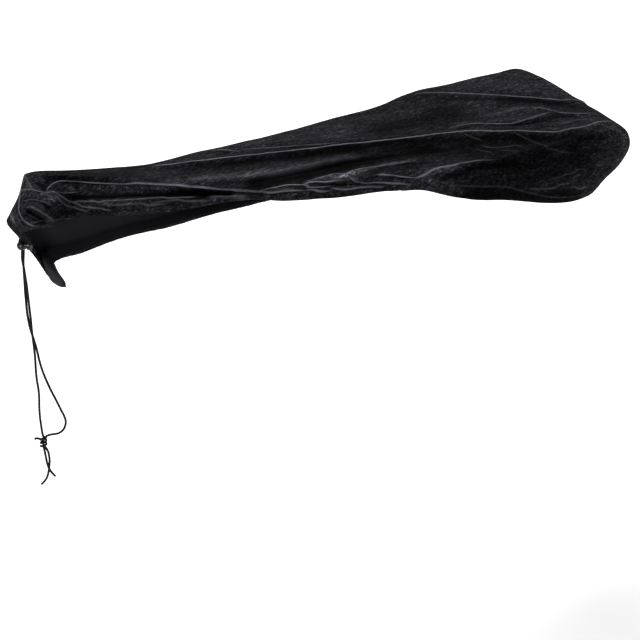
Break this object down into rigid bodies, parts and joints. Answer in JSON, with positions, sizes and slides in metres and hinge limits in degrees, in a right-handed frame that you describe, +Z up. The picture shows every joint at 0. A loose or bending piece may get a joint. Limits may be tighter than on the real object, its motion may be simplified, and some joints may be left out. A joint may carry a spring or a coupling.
{
  "type": "piano cover",
  "caption": "Stretch velvet keyboard cover with an elastic hem, front left part folded back over itself, with a cord lock and a knotted drawcord hanging at the back left corner.",
  "frame": {"origin": "underside of the cover's top, midway along the keyboard that it covers and 215 mm behind the front edge of the keys", "axes": "+X along the keyboard to the right, +Y to its back, +Z up"},
  "size_m": [1.0409, 0.3398, 0.5191],
  "materials": {
    "cover_velvet": "near-black charcoal stretch velvet, short brushed pile, lighter at grazing angles",
    "lock_plastic": "black moulded plastic with a soft shine",
    "drawcord_cord": "black round braided cord"
  },
  "bodies": {
    "root": {"cover_cloth": "cover_velvet", "cord_lock_body": "lock_plastic", "cord_lock_button": "lock_plastic", "drawcord_lead_left": "drawcord_cord", "drawcord_lead_right": "drawcord_cord", "drawcord_strand_left": "drawcord_cord", "drawcord_strand_right": "drawcord_cord", "drawcord_knot": "drawcord_cord", "drawcord_tail_left": "drawcord_cord", "drawcord_tail_right": "drawcord_cord"}
  },
  "joints": []
}
